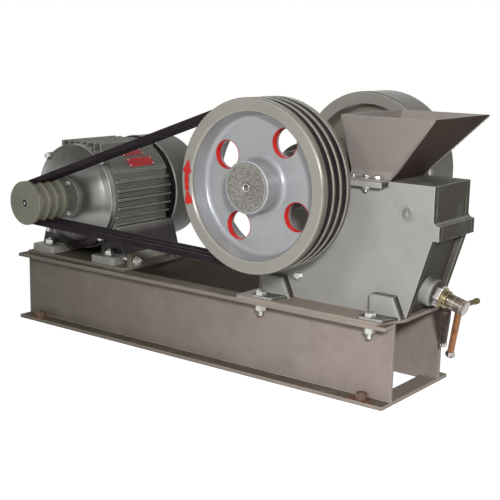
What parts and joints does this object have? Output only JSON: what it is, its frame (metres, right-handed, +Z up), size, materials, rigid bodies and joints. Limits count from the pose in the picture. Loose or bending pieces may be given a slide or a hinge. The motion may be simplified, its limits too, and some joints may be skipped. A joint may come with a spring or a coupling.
{
  "type": "laboratory jaw crusher",
  "caption": "Small jaw crusher on a two-beam base: electric motor, V-belt drive, grooved and plain flywheels, open feed hopper, front adjusting screw.",
  "frame": {"origin": "middle of the anchor hole pattern, on the floor under the base", "axes": "+X from the motor to the crusher's front, -Y the side with the belts, +Z up"},
  "size_m": [0.8762, 0.4, 0.446],
  "materials": {
    "machine_paint": "worn grey machine enamel",
    "wheel_paint": "silver-grey enamel over turned iron",
    "motor_paint": "grey-green enamel",
    "belt_rubber": "black wrapped belt",
    "bare_steel": "turned steel",
    "bar_steel": "browned steel bar",
    "nut_chrome": "bright plated steel",
    "hopper_paint": "grey enamel on sheet",
    "jaw_iron": "scuffed dark casting"
  },
  "bodies": {
    "machine": {"beam_far": "machine_paint", "beam_near": "machine_paint", "bearing_cap": "motor_paint", "bearing_housing_far": "machine_paint", "bearing_housing_near": "machine_paint", "cheek_liner_far": "jaw_iron", "cheek_liner_near": "jaw_iron", "drive_belt_1": "belt_rubber", "drive_belt_2": "belt_rubber", "drive_belt_3": "belt_rubber", "drive_end_shield": "motor_paint", "fan_cowl": "motor_paint", "foot_plate": "machine_paint", "front_floor_strip": "machine_paint", "front_jaw": "jaw_iron", "front_jaw_liner": "jaw_iron", "front_wall": "machine_paint", "hopper_far": "hopper_paint", "hopper_front": "hopper_paint", "hopper_near": "hopper_paint", "hopper_rear": "hopper_paint", "hopper_seat": "hopper_paint", "jaw_pivot_pin": "bare_steel", "motor_foot_front": "motor_paint", "motor_foot_rear": "motor_paint", "motor_frame": "motor_paint", "motor_plate": "machine_paint", "rear_floor_strip": "machine_paint", "rear_wall": "machine_paint", "side_plate_far": "machine_paint", "side_plate_near": "machine_paint", "swing_jaw": "jaw_iron", "swing_jaw_liner": "jaw_iron", "terminal_box": "motor_paint", "toggle_plate": "bare_steel", "top_cover": "machine_paint"},
    "flywheel_shaft": {"eccentric_shaft": "bare_steel", "flywheel_near": "wheel_paint", "flywheel_far": "wheel_paint"},
    "motor_rotor": {"motor_shaft": "bare_steel", "motor_pulley": "motor_paint"},
    "screw": {"adjusting_screw": "bare_steel", "long_bar": "bar_steel", "short_bar": "bar_steel"},
    "nut": {"lock_nut": "nut_chrome", "lock_lever": "bar_steel"}
  },
  "joints": [
    {"name": "flywheel_turn", "type": "hinge", "parent": "machine", "child": "flywheel_shaft", "pos_m": [0.215, 0, 0.319], "axis": [0, 1, 0], "continuous": true},
    {"name": "motor_turn", "type": "hinge", "parent": "machine", "child": "motor_rotor", "pos_m": [-0.273, 0, 0.242], "axis": [0, 1, 0], "continuous": true},
    {"name": "screw_turn", "type": "hinge", "parent": "machine", "child": "screw", "pos_m": [0.45596, 0, 0.14978], "axis": [0.9578, 0, -0.2873], "range_deg": [-180, 180]},
    {"name": "lock_nut_turn", "type": "hinge", "parent": "machine", "child": "nut", "pos_m": [0.42914, 0, 0.15783], "axis": [0.9578, 0, -0.2873], "range_deg": [-60, 60]}
  ],
  "couplings": [
    {"joint": "motor_turn", "follows": "flywheel_turn", "ratio": 3.53}
  ]
}
